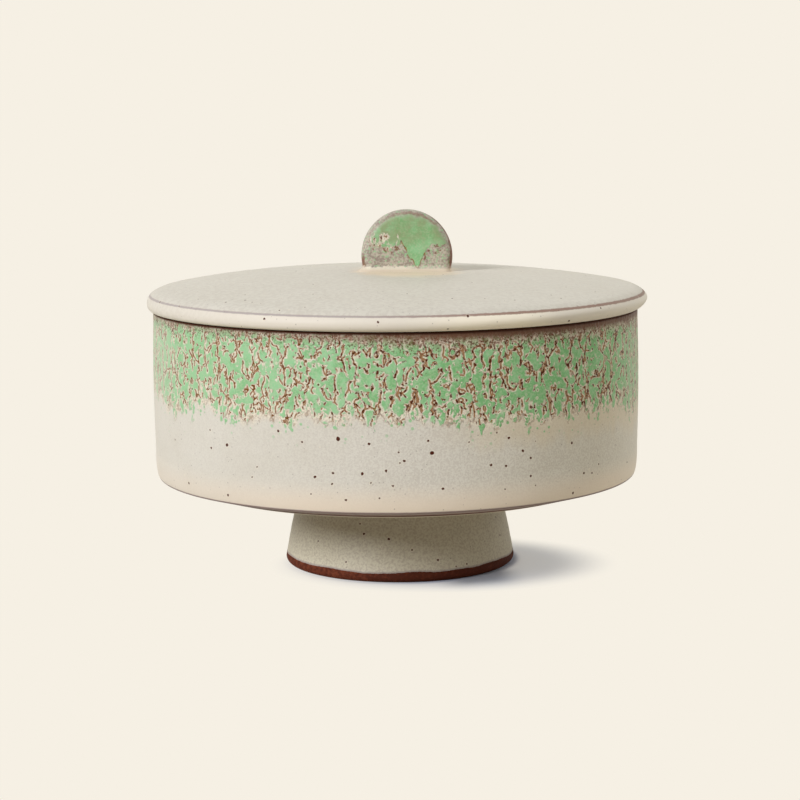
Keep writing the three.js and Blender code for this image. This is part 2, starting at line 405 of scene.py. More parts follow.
def new_group(name, kind, inputs, outputs):
    """A node group with its sockets: each input is (name, type, default), each output (name, type)."""
    tree = bpy.data.node_groups.new(name, kind)
    for title, socket_type, default in inputs:
        socket = tree.interface.new_socket(title, in_out="INPUT", socket_type=socket_type)
        if default is not None:
            socket.default_value = default
    for title, socket_type in outputs:
        tree.interface.new_socket(title, in_out="OUTPUT", socket_type=socket_type)
    return tree, node(tree, "NodeGroupInput").outputs, node(tree, "NodeGroupOutput").inputs


def use(tree, group, **values):
    """Places a shader group; its inputs are named by keyword, with _ for a space."""
    made = tree.nodes.new("ShaderNodeGroup")
    made.node_tree = group
    for name, value in values.items():
        feed(tree, made.inputs[name.replace("_", " ")], value)
    return made.outputs


# Shared glaze effects. Every position and size in them is in millimetres.

NUMBER = "NodeSocketFloat"
PLACE = "NodeSocketVector"


def iron_specks_group():
    """Round specks of iron that burn through the glaze, each of its own size, in a share of the cells.

    Ring is the thin pale glaze round each speck."""
    tree, given, result = new_group("iron_specks", "ShaderNodeTree", [
        ("Position", PLACE, None), ("Cell", NUMBER, 6.0), ("Radius", NUMBER, 0.5), ("Share", NUMBER, 0.5)],
        [("Mask", NUMBER), ("Ring", NUMBER)])
    cells = node(tree, "ShaderNodeTexVoronoi", {
        "Vector": given["Position"], "Scale": calc(tree, "DIVIDE", 1.0, given["Cell"])}, feature="F1")
    chance, size, _ = axis_parts(tree, cells.outputs["Color"])
    away = product(tree, cells.outputs["Distance"], given["Cell"])
    radius = product(tree, given["Radius"], ramp(tree, size, 0.0, 1.0, 0.35, 1.0, smooth=False))
    kept = calc(tree, "LESS_THAN", chance, given["Share"])
    edge = calc(tree, "SUBTRACT", away, radius)
    spot = ramp(tree, edge, 0.10, -0.10)
    around = product(tree, ramp(tree, edge, 0.38, 0.12), rest_of(tree, spot))
    feed(tree, result["Mask"], product(tree, spot, kept))
    feed(tree, result["Ring"], product(tree, around, kept))
    return tree


def glaze_body_group():
    """The cream glaze itself: slow clouds of tone, grain of that size, fine dust, and its soft ripple."""
    tree, given, result = new_group("glaze_body", "ShaderNodeTree", [
        ("Position", PLACE, None), ("Grain Size", NUMBER, 0.5)],
        [("Cloud", NUMBER), ("Grain", NUMBER), ("Dust", NUMBER), ("Ripple", NUMBER)])
    position = given["Position"]
    feed(tree, result["Cloud"], ramp(tree, noise(tree, position, 16.0, 3.0), 0.30, 0.70))
    grain = noise(tree, moved(tree, position, (2.0, 0.0, 9.0)), given["Grain Size"], 1.0)
    feed(tree, result["Grain"], ramp(tree, grain, 0.40, 0.60))
    feed(tree, result["Dust"], ramp(tree, noise(tree, position, 0.55, 2.0, 0.7), 0.58, 0.80))
    slow = noise(tree, position, 5.0, 2.0)
    fine = noise(tree, position, 0.9, 2.0)
    feed(tree, result["Ripple"], calc(tree, "MULTIPLY_ADD", fine, 0.22, slow))
    return tree


def edge_break_group():
    """Where a glaze thins over an edge: a ragged band of that width, from the distance to the edge."""
    tree, given, result = new_group("edge_break", "ShaderNodeTree", [
        ("Position", PLACE, None), ("Distance", NUMBER, 0.0), ("Width", NUMBER, 0.5),
        ("Raggedness", NUMBER, 0.5)], [("Mask", NUMBER)])
    wander = calc(tree, "SUBTRACT", noise(tree, given["Position"], 1.6, 4.0, 0.65), 0.5)
    shift = product(tree, wander, product(tree, given["Raggedness"], 4.0))
    span = product(tree, given["Width"], calc(tree, "ADD", 1.0, shift))
    away = calc(tree, "ABSOLUTE", given["Distance"])
    share = calc(tree, "DIVIDE", away, calc(tree, "MAXIMUM", span, 0.01))
    feed(tree, result["Mask"], ramp(tree, share, 1.0, 0.45))
    return tree


def parting_group():
    """How far the nearest parting between two islands of glaze is, in its own stretched and bent space."""
    tree, given, result = new_group("parting", "ShaderNodeTree", [
        ("Position", PLACE, None), ("Size", NUMBER, 3.0), ("Stretch", NUMBER, 0.5), ("Wobble", NUMBER, 0.5)],
        [("Distance", NUMBER)])
    x, y, z = axis_parts(tree, given["Position"])
    flowing = joined(tree, x, y, product(tree, z, given["Stretch"]))
    bend = noise(tree, given["Position"], product(tree, given["Size"], 0.7), 1.0, 0.35, colour=True)
    bend = vector_calc(tree, "SUBTRACT", bend, (0.5, 0.5, 0.5))
    bend = vector_calc(tree, "SCALE", bend, scale=product(tree, given["Size"], given["Wobble"]))
    bent = vector_calc(tree, "ADD", flowing, bend)
    islands = node(tree, "ShaderNodeTexVoronoi", {
        "Vector": bent, "Scale": calc(tree, "DIVIDE", 1.0, given["Size"])}, feature="DISTANCE_TO_EDGE")
    feed(tree, result["Distance"], product(tree, islands.outputs["Distance"], given["Size"]))
    return tree


def crawl_lines_group():
    """How far the nearest parting of a crawling glaze is along the surface, in mm."""
    tree, given, result = new_group("crawl_lines", "ShaderNodeTree", [
        ("Position", PLACE, None), ("Size", NUMBER, 3.0), ("Stretch", NUMBER, 0.5), ("Wobble", NUMBER, 0.5)],
        [("Distance", NUMBER), ("Depth", NUMBER)])
    reach = 0.08
    normal = node(tree, "ShaderNodeNewGeometry").outputs["Normal"]
    across = vector_calc(tree, "NORMALIZE", vector_calc(tree, "CROSS_PRODUCT", normal, (0.0, 0.0, 1.0)))
    down = vector_calc(tree, "CROSS_PRODUCT", normal, across)

    def parting_at(place):
        return use(tree, PARTING, Position=place, Size=given["Size"], Stretch=given["Stretch"],
                   Wobble=given["Wobble"])[0]

    here = parting_at(given["Position"])
    changes = []
    for way in (across, down):
        beside = vector_calc(tree, "ADD", given["Position"], vector_calc(tree, "SCALE", way, scale=reach))
        changes.append(calc(tree, "SUBTRACT", parting_at(beside), here))
    slope = vector_calc(tree, "LENGTH", joined(tree, changes[0], changes[1], 0.0))
    slope = calc(tree, "MAXIMUM", calc(tree, "DIVIDE", slope, reach), 0.25)
    feed(tree, result["Distance"], calc(tree, "DIVIDE", here, slope))
    feed(tree, result["Depth"], here)
    return tree


def run_glaze_group():
    """A green glaze that has run and crawled. Fall says how far inside the green a point lies, in mm.

    It parts into islands along thin brown lines with dark beads on them, in a pale halo. Low down the
    partings open, and the green ends in pointed tongues with stray drops below them."""
    tree, given, result = new_group("run_glaze", "ShaderNodeTree", [
        ("Position", PLACE, None), ("Fall", NUMBER, 0.0), ("Veins", NUMBER, 1.0),
        ("Tongues", NUMBER, 1.0), ("Outline", NUMBER, 0.5), ("Weight", NUMBER, 1.0)],
        [("Green", NUMBER), ("Line", NUMBER), ("Dark", NUMBER), ("Halo", NUMBER), ("Height", NUMBER)])
    place, fall = given["Position"], given["Fall"]
    main = use(tree, CRAWL_LINES, Position=place, Size=3.7, Stretch=0.32, Wobble=0.62)
    elsewhere = moved(tree, place, (31.0, 7.0, 3.0))
    extra = use(tree, CRAWL_LINES, Position=elsewhere, Size=2.1, Stretch=0.38, Wobble=0.55)
    low = ramp(tree, fall, 9.0, 1.0)
    admitted = ramp(tree, noise(tree, place, 1.9, 1.0), 0.46, 0.52)
    admitted = calc(tree, "MAXIMUM", admitted, product(tree, low, 0.8))
    shut = product(tree, rest_of(tree, admitted), 1.6)
    veinless = product(tree, rest_of(tree, given["Veins"]), 3.0)
    near = calc(tree, "MINIMUM", main["Distance"], calc(tree, "ADD", extra["Distance"], shut))
    near = calc(tree, "ADD", near, veinless)
    drawn = calc(tree, "DIVIDE", near, given["Weight"])
    swell = calc(tree, "MULTIPLY_ADD", main["Depth"], 2.6, -2.9)
    swell = calc(tree, "MULTIPLY_ADD", extra["Depth"], 3.4, swell)
    tongue = calc(tree, "MULTIPLY_ADD", swell, given["Tongues"], fall)
    border = calc(tree, "MULTIPLY", calc(tree, "ABSOLUTE", tongue), 0.40)

    chance = noise(tree, moved(tree, place, (5.0, 17.0, 0.0)), 2.6, 1.0)
    present = ramp(tree, chance, 0.44, 0.50)
    parted = ramp(tree, chance, 0.38, 0.47)
    inside = product(tree, ramp(tree, tongue, -0.3, 0.9), ramp(tree, fall, -1.5, 1.5, 0.5, 1.0))
    thin = product(tree, ramp(tree, drawn, 0.27, 0.13), present, inside)
    outline = product(tree, ramp(tree, border, 0.24, 0.08), present, given["Outline"],
                      ramp(tree, fall, -1.5, 1.0))
    bead = ramp(tree, noise(tree, place, 0.80, 1.0), 0.50, 0.58)
    beads = product(tree, bead, ramp(tree, drawn, 0.34, 0.19), inside, parted)
    beads = calc(tree, "MAXIMUM", beads, product(tree, bead, outline))
    line = calc(tree, "MAXIMUM", product(tree, calc(tree, "MAXIMUM", thin, outline), 0.85), beads)

    opening = ramp(tree, noise(tree, place, 3.0, 1.0), 0.38, 0.66, 0.3, 1.0)
    gap = product(tree, opening, low, 0.5)
    closed = product(tree, rest_of(tree, parted), 0.8)
    apart = calc(tree, "SUBTRACT", calc(tree, "ADD", near, closed), gap)
    green = product(tree, ramp(tree, apart, 0.28, 0.84), ramp(tree, tongue, -0.1, 0.7))
    drops = use(tree, IRON_SPECKS, Position=place, Cell=1.6, Radius=0.46, Share=0.50)["Mask"]
    drops = product(tree, drops, ramp(tree, fall, -6.5, -0.5), 0.9)
    feed(tree, result["Green"], calc(tree, "MAXIMUM", green, drops))
    feed(tree, result["Line"], line)
    feed(tree, result["Dark"], bead)
    feed(tree, result["Halo"], product(tree, ramp(tree, apart, 0.90, 0.30), ramp(tree, fall, -1.0, 2.5)))
    feed(tree, result["Height"], green)
    return tree


IRON_SPECKS = iron_specks_group()
GLAZE_BODY = glaze_body_group()
EDGE_BREAK = edge_break_group()
PARTING = parting_group()
CRAWL_LINES = crawl_lines_group()
RUN_GLAZE = run_glaze_group()


# Outlines, and where the specks of the front lie on them

def wall_side(share):
    """The wall's radius at that share of its height, from the tuck to the lip."""
    return BASIN_RADIUS + (WALL_SWELL * math.sin(math.pi * share) - WALL_DRAWN_IN * share)


def foot_side(share):
    """The foot's radius at that share of its height, from the edge to the cove."""
    straight = FOOT_BASE_RADIUS + (FOOT_TOP_RADIUS - FOOT_BASE_RADIUS) * share
    return straight + FOOT_SWELL * math.sin(math.pi * share)


def wall_radius(_, z):
    """The basin's radius at that height."""
    if z < TUCK_Z:
        share = min(1.0, (TUCK_Z - z) / (TUCK_Z - CORNER_Z))
        return BASIN_RADIUS - BASIN_TUCK * (1 - math.sqrt(1 - share ** 2))
    return wall_side((z - TUCK_Z) / (LIP_Z - TUCK_Z))


def foot_radius(_, z):
    """The foot's radius at that height."""
    return foot_side(min(1.0, max(0.0, (z - FOOT_EDGE) / (COVE_Z - FOOT_EDGE))))


def lid_radius(x, z):
    """The lid's radius at that x and height, because it leans."""
    z += LID_LEAN * max(0.0, x) / MM * (z - LEAN_Z)
    if z > DOME_EDGE_Z:
        return DOME_RADIUS * max(0.0, 1 - (z - DOME_EDGE_Z) / DOME_RISE) ** (1 / DOME_POWER)
    if z > LID_WIDEST_Z:
        return SHOULDER_CENTRE + SHOULDER_SPREAD * math.sqrt(1 - ((z - LID_WIDEST_Z) / SHOULDER_RISE) ** 2)
    share = min(1.0, (LID_WIDEST_Z - z) / LOWER_EDGE_RISE)
    return LID_RADIUS - LOWER_EDGE_SPREAD * (1 - math.sqrt(1 - share ** 2))


def camera_turn():
    """How the camera is turned: looking down by its tilt, and rolled a little."""
    tilt = Matrix.Rotation(math.radians(90 - CAMERA_TILT), 3, "X")
    roll = Matrix.Rotation(math.radians(CAMERA_ROLL), 3, "Z")
    return tilt @ roll


def places_seen(spots, radius_at, aside=0.0):
    """Where the camera's lines of sight through those pixels first meet a round shape, in mm."""
    found = []
    turn = camera_turn()
    for across, down, size in spots:
        way = turn @ Vector((across - IMAGE_SIDE / 2, IMAGE_SIDE / 2 - down, -FOCAL_PIXELS))
        way.normalize()
        spot = Vector((CAMERA_ASIDE, -CAMERA_DISTANCE, CAMERA_HEIGHT)) + way * SIGHT_START
        while math.hypot(spot.x - aside, spot.y) > radius_at(spot.x, spot.z) and spot.y < SIGHT_END:
            spot += way * SIGHT_STEP
        found.append((tuple(spot / MM), SPECK_SHARE * size))
    return found


# Materials

def new_material(name):
    """An empty material, its shader and its position in millimetres."""
    material = bpy.data.materials.new(name)
    tree = empty_tree(material)
    shader = node(tree, "ShaderNodeBsdfPrincipled", {"Specular IOR Level": SPECULAR})
    node(tree, "ShaderNodeOutputMaterial", {"Surface": shader.outputs[0]})
    return material, tree, shader, position_in_mm(tree)


def finish_surface(tree, shader, colour, roughness, height, relief):
    """Feeds the shader. The height, from 0 to 1, stands for a relief of that many millimetres."""
    bump = node(tree, "ShaderNodeBump", {"Strength": 1.0, "Distance": relief * MM, "Height": height})
    feed(tree, shader.inputs["Base Color"], colour)
    feed(tree, shader.inputs["Roughness"], roughness)
    feed(tree, shader.inputs["Normal"], bump.outputs[0])


def cream_colour(tree, position, grain=0.10, grain_size=0.5):
    """The cream glaze and its ripple, with that share of dark grain."""
    body = use(tree, GLAZE_BODY, Position=position, Grain_Size=grain_size)
    colour = blend(tree, product(tree, body["Cloud"], 0.6), CREAM, CREAM_DEEP)
    colour = coat(tree, colour, SCORCH_DARK, body["Grain"], grain)
    colour = coat(tree, colour, SPECK_BROWN, body["Dust"], 0.16)
    return colour, body["Ripple"]


def speckled(tree, position, colour, placed):
    """The colour with iron specks over it: few big ones and many fine ones, each in its pale ring.

    Placed holds the plainest specks of the front, which stand there in place of the big ones."""
    big = use(tree, IRON_SPECKS, Position=position, Cell=5.0, Radius=0.46, Share=0.42)
    small = use(tree, IRON_SPECKS, Position=position, Cell=2.6, Radius=0.28, Share=0.20)
    fine = use(tree, IRON_SPECKS, Position=position, Cell=1.4, Radius=0.17, Share=0.62)
    at_back = ramp(tree, axis_parts(tree, position)[1], -10.0, 0.0)
    dark = calc(tree, "MAXIMUM", product(tree, big["Mask"], at_back), product(tree, small["Mask"], 0.9))
    ring = calc(tree, "MAXIMUM", product(tree, big["Ring"], at_back), small["Ring"])
    wander = noise(tree, position, 0.6, 1.0, 0.5, colour=True)
    wander = vector_calc(tree, "SUBTRACT", wander, (0.5, 0.5, 0.5))
    blurred = vector_calc(tree, "ADD", position, vector_calc(tree, "SCALE", wander, scale=0.5))
    nearest = NO_SPECK
    for spot, size in placed:
        away = calc(tree, "SUBTRACT", vector_calc(tree, "DISTANCE", blurred, spot), size)
        nearest = calc(tree, "MINIMUM", nearest, away)
    dark = calc(tree, "MAXIMUM", dark, ramp(tree, nearest, 0.12, -0.06))
    ring = calc(tree, "MAXIMUM", ring, ramp(tree, nearest, 0.42, 0.12))
    colour = coat(tree, colour, HALO, ring, 0.35)
    colour = coat(tree, colour, SPECK_BROWN, fine["Mask"], 0.45)
    return coat(tree, colour, SPECK_BROWN, dark)


def run_over(tree, position, colour, run, inside):
    """The colour with the run green glaze over it, where inside is 1. The green is paler on the left."""
    stipple = ramp(tree, noise(tree, position, 0.5, 1.0), 0.44, 0.58)
    gap = blend(tree, product(tree, stipple, 0.6), HALO, MAUVE)
    colour = coat(tree, colour, gap, run["Halo"], inside, 0.9)
    tone = ramp(tree, noise(tree, position, 5.0, 3.0, 0.6), 0.35, 0.65)
    fine_tone = ramp(tree, noise(tree, position, 0.6, 1.0), 0.40, 0.66, 0.0, 0.5)
    sideways = axis_parts(tree, position)[0]
    tone = calc(tree, "ADD", tone, ramp(tree, sideways, *GREEN_TONE), clamp=True)
    green = blend(tree, tone, GREEN, GREEN_PALE)
    green = blend(tree, fine_tone, green, GREEN_WORN)
    colour = coat(tree, colour, green, run["Green"], inside)
    dark = product(tree, run["Dark"], ramp(tree, sideways, *LINE_TONE))
    brown = blend(tree, dark, OLIVE_BROWN, RED_BROWN)
    return coat(tree, colour, brown, run["Line"], inside)


def scorched(tree, position, colour, x, below, outside):
    """The colour with scorched glaze over it just below the rim, deeper towards the front right."""
    deeper = ramp(tree, x, *SCORCH_REACH)
    reach = calc(tree, "MULTIPLY_ADD", noise(tree, position, 4.0, 3.0, 0.6), 5.0, deeper)
    past_reach = calc(tree, "SUBTRACT", below, reach)
    scorch = ramp(tree, past_reach, 1.4, -1.4)
    tone = ramp(tree, noise(tree, position, 2.5, 3.0, 0.7), 0.38, 0.62)
    burnt = blend(tree, tone, SCORCH_PALE, SCORCH_DARK)
    colour = coat(tree, colour, burnt, scorch, outside, 0.72)
    flecks = ramp(tree, noise(tree, moved(tree, position, (9.0, 0.0, 5.0)), 0.5, 1.0), 0.55, 0.63)
    colour = coat(tree, colour, HALO, flecks, scorch, outside, 0.6)
    grit = ramp(tree, noise(tree, position, 0.55, 1.0), 0.54, 0.61)
    wider = ramp(tree, past_reach, 3.5, 0.0)
    colour = coat(tree, colour, RED_BROWN, grit, wider, outside, 0.75)
    return colour


def basin_edges(tree, position, colour, z, radius, below):
    """The colour with a bare rim and with glaze broken at the lower corner, and where the clay is bare."""
    corner, lower = CORNER_Z / MM, UNDERSIDE_Z / MM
    bare = use(tree, EDGE_BREAK, Position=position, Distance=below, Width=BARE_RIM_WIDTH,
               Raggedness=0.12)["Mask"]
    colour = coat(tree, colour, BARE_RIM, bare)
    colour = coat(tree, colour, BREAK_GREY, ramp(tree, z, corner + 0.7, corner + 0.3))
    undercut = ramp(tree, radius, UNDERCUT_INSIDE, UNDERCUT_INSIDE + 1.5)
    colour = coat(tree, colour, BREAK_RED, ramp(tree, z, corner, lower + 1.0), undercut)
    for level, width, share in ((corner + 0.15, 0.45, 0.4), (lower + 1.0, 0.9, 1.0)):
        line = use(tree, EDGE_BREAK, Position=position, Distance=calc(tree, "SUBTRACT", z, level),
                   Width=width, Raggedness=0.2)["Mask"]
        colour = coat(tree, colour, RED_BROWN, line, undercut, share)
    # A pale line along the undercut's lower edge: painted highlight, for the light that a rounded edge would
    # catch from the floor
    colour = coat(tree, colour, HALO, ramp(tree, z, lower + 0.62, lower + 0.45), undercut)
    return colour, bare


def basin_material():
    """The basin: cream, with the green band below its rim, a warm blush at its corner and bare edges."""
    material, tree, shader, position = new_material("banded_glaze")
    x, y, z = axis_parts(tree, position)
    around = joined(tree, calc(tree, "SUBTRACT", x, BASIN_ASIDE / MM), y, 0.0)
    radius = vector_calc(tree, "LENGTH", around)
    rim, wall, corner = RIM_Z / MM, BASIN_RADIUS / MM, CORNER_Z / MM
    outside = ramp(tree, radius, wall - OUTER_SKIN - 0.4, wall - OUTER_SKIN)
    below = calc(tree, "SUBTRACT", rim, z)

    colour, ripple = cream_colour(tree, position, ramp(tree, x, *BASIN_GRAIN))
    blush = ramp(tree, z, corner + BLUSH_FADED, corner + BLUSH_FULL)
    # Painted warm shade: a yellower cream towards the basin's shaded right
    colour = coat(tree, colour, WARM_SHADE_CREAM, ramp(tree, x, *BASIN_WARM_SHADE), 0.15)
    colour = coat(tree, colour, PEACH, blush, outside, ramp(tree, x, *BASIN_BLUSH))

    # The green band: its lower edge wanders round the wall, and the cream is warmer below it on the right
    edge = calc(tree, "ADD", noise(tree, around, 20.0, 2.0), noise(tree, around, 4.0, 2.0))
    edge_z = ramp(tree, edge, 0.7, 1.3, rim - BAND_DEEP, rim - BAND_SHALLOW, smooth=False)
    edge_z = calc(tree, "SUBTRACT", edge_z, ramp(tree, x, *BAND_SHORTER))
    fall = calc(tree, "SUBTRACT", z, edge_z)
    colour = coat(tree, colour, WARM_CREAM, ramp(tree, fall, -8.0, -1.5), ramp(tree, x, *BASIN_WARMER),
                  outside, 0.45)
    run = use(tree, RUN_GLAZE, Position=position, Fall=fall, Weight=ramp(tree, x, *LINE_WEIGHT))
    inside = product(tree, outside, ramp(tree, fall, -8.0, -6.0))
    colour = run_over(tree, position, colour, run, inside)
    turned_away = ramp(tree, calc(tree, "ABSOLUTE", x), *BASIN_TURNED_AWAY)
    colour = coat(tree, colour, CREAM, turned_away, outside, 0.2)
    pits = use(tree, IRON_SPECKS, Position=position, Cell=1.6, Radius=0.38, Share=0.17)
    high = product(tree, outside, ramp(tree, fall, 0.0, 4.0))
    colour = coat(tree, colour, HALO, pits["Ring"], high, 0.6)
    colour = coat(tree, colour, RED_BROWN, pits["Mask"], high, 0.9)
    colour = scorched(tree, position, colour, x, below, outside)
    colour = speckled(tree, position, colour, places_seen(WALL_SPECKS, wall_radius, BASIN_ASIDE))
    from_rim = calc(tree, "MULTIPLY_ADD", noise(tree, position, 2.0, 2.0), 0.8, below)
    colour = coat(tree, colour, SCORCH_DEEP, ramp(tree, from_rim, 3.6, 1.6), outside,
                  ramp(tree, x, *SCORCH_AT_RIM))
    colour, bare = basin_edges(tree, position, colour, z, radius, below)

    green_mask = product(tree, run["Height"], inside)
    height = calc(tree, "MULTIPLY_ADD", green_mask, 0.9, product(tree, ripple, 0.5))
    roughness = ramp(tree, green_mask, 0.0, 1.0, CREAM_ROUGHNESS, GREEN_ROUGHNESS, smooth=False)
    roughness = calc(tree, "MAXIMUM", roughness, product(tree, bare, 0.85))
    finish_surface(tree, shader, colour, roughness, height, 0.10)
    return material


def lid_material():
    """The lid: speckled cream that breaks over its top's edge, grey on the left and red on the right."""
    material, tree, shader, position = new_material("cream_glaze_lid")
    x, y, z = axis_parts(tree, position)
    radius = vector_calc(tree, "LENGTH", joined(tree, x, y, 0.0))
    colour, ripple = cream_colour(tree, position, ramp(tree, x, *LID_GRAIN), 1.2)
    # Painted shade: the lid's cream is made deeper than the basin's, to offset the stronger light its top
    # gets from above
    colour = coat(tree, colour, CREAM_DEEP, 0.55)
    # Painted light on the face below the arris: a paler cream, less of it on the left, with a painted
    # highlight at the front right
    face = ramp(tree, z, ARRIS_Z + 0.3, ARRIS_Z - 0.5)
    face = product(tree, face, ramp(tree, x, *LID_FACE_LIGHT_SHARE))
    front_right = product(tree, ramp(tree, x, 0.0, 22.0), ramp(tree, x, 46.0, 32.0))
    colour = coat(tree, colour, blend(tree, front_right, RIM_PAINTED_LIGHT, RIM_PAINTED_HIGHLIGHT), face, 0.9)

    # Peach round the knob, in a ragged oval
    across = calc(tree, "DIVIDE", calc(tree, "SUBTRACT", x, KNOB_OFFSET / MM), PEACH_ACROSS)
    along = calc(tree, "DIVIDE", y, PEACH_ALONG)
    from_knob = vector_calc(tree, "LENGTH", joined(tree, across, along, 0.0))
    from_knob = calc(tree, "MULTIPLY_ADD", noise(tree, position, 5.0, 2.0), 0.4, from_knob)
    colour = coat(tree, colour, PEACH_PALE, ramp(tree, from_knob, 1.3, 0.85), 0.9)

    line = use(tree, EDGE_BREAK, Position=position, Distance=calc(tree, "SUBTRACT", z, ARRIS_Z),
               Width=ramp(tree, x, *LID_BREAK_WIDTH), Raggedness=0.35)["Mask"]
    line = product(tree, line, ramp(tree, radius, LID_RADIUS / MM - 3.0, LID_RADIUS / MM - 2.0))
    tint = blend(tree, ramp(tree, x, *LID_BREAK_TONE), BREAK_GREY, BREAK_RED)
    colour = coat(tree, colour, tint, line, 0.8)
    colour = speckled(tree, position, colour, places_seen(LID_SPECKS, lid_radius))
    rings = noise(tree, joined(tree, radius, 0.0, 0.0), 1.7, 2.0)
    height = calc(tree, "MULTIPLY_ADD", rings, 0.3, ripple)
    finish_surface(tree, shader, colour, CREAM_ROUGHNESS, height, 0.04)
    return material


def foot_material():
    """The foot: cream glaze that ends in a ragged grey edge, above a band of bare red clay."""
    material, tree, shader, position = new_material("cream_glaze_foot")
    x, y, z = axis_parts(tree, position)
    around = joined(tree, x, y, 0.0)
    colour, ripple = cream_colour(tree, position)
    # Painted warm shade: the foot's cream is made yellower, for the warm light in its shade
    colour = coat(tree, colour, WARM_SHADE_CREAM, 0.8)
    dust = ramp(tree, noise(tree, position, 0.6, 2.0, 0.6), 0.38, 0.68)
    colour = coat(tree, colour, SCORCH_DARK, dust, 0.27)
    colour = speckled(tree, position, colour, places_seen(FOOT_SPECKS, foot_radius, FOOT_ASIDE))
    ragged = product(tree, noise(tree, around, 1.3, 3.0, 0.6), 0.22)
    wander = calc(tree, "ADD", noise(tree, around, 16.0, 1.0), ragged)
    glaze_end = ramp(tree, wander, 0.4, 0.9, FOOT_GLAZE_LOW, FOOT_GLAZE_HIGH, smooth=False)
    above = calc(tree, "SUBTRACT", z, glaze_end)
    colour = coat(tree, colour, BREAK_GREY, ramp(tree, above, 0.75, 0.15), 0.7)
    bare = ramp(tree, above, 0.06, -0.06)
    patches = ramp(tree, noise(tree, position, 1.2, 4.0, 0.65), 0.35, 0.65)
    # The clay's tone: patches of its own, and painted shade that darkens it towards the right
    tone = calc(tree, "ADD", patches, ramp(tree, x, *CLAY_PAINTED_SHADE), clamp=True)
    colour = coat(tree, colour, blend(tree, tone, CLAY, CLAY_DARK), bare)
    grain = noise(tree, position, 0.35, 3.0, 0.7)
    glaze_step = product(tree, ramp(tree, above, -0.05, 0.35), 1.5)
    texture = calc(tree, "ADD", product(tree, ripple, 0.4), product(tree, bare, grain))
    roughness = ramp(tree, bare, 0.0, 1.0, CREAM_ROUGHNESS, CLAY_ROUGHNESS, smooth=False)
    finish_surface(tree, shader, colour, roughness, calc(tree, "ADD", glaze_step, texture), 0.1)
    return material


def clay_material():
    """The ring under the lid: bare fired clay."""
    material, tree, shader, position = new_material("bare_clay")
    patches = ramp(tree, noise(tree, position, 3.0, 4.0, 0.65), 0.35, 0.65)
    colour = blend(tree, patches, CLAY, CLAY_DARK)
    grit = use(tree, IRON_SPECKS, Position=position, Cell=2.2, Radius=0.3, Share=0.6)["Mask"]
    colour = coat(tree, colour, SPECK_BROWN, grit)
    grain = noise(tree, position, 0.35, 3.0, 0.7)
    finish_surface(tree, shader, colour, CLAY_ROUGHNESS, grain, 0.06)
    return material


def knob_rim(tree, position, colour, aside, up, inward, wander):
    """The colour with brown over it where the glaze breaks at the rim, on the right and at the lower left."""
    width = ramp(tree, up, 12.0, 2.0, 0.4, 1.3)
    broken = use(tree, EDGE_BREAK, Position=position, Distance=inward, Width=width, Raggedness=0.5)["Mask"]
    turned_right = ramp(tree, aside, 5.0, 9.0)
    low_left = product(tree, ramp(tree, aside, -9.0, -11.0), ramp(tree, up, 6.0, 3.0))
    colour = coat(tree, colour, KNOB_BREAK, broken, calc(tree, "MAXIMUM", turned_right, low_left), 0.8)
    offset = calc(tree, "MULTIPLY_ADD", wander, 0.15, calc(tree, "SUBTRACT", inward, 0.9))
    offset = calc(tree, "ABSOLUTE", offset)
    across = product(tree, ramp(tree, aside, -8.0, 3.0, 0.3, 1.0), ramp(tree, aside, 9.5, 8.0))
    colour = coat(tree, colour, BREAK_RED, ramp(tree, offset, 0.55, 0.15), across,
                  ramp(tree, up, 9.0, 11.0), 0.55)
    return colour


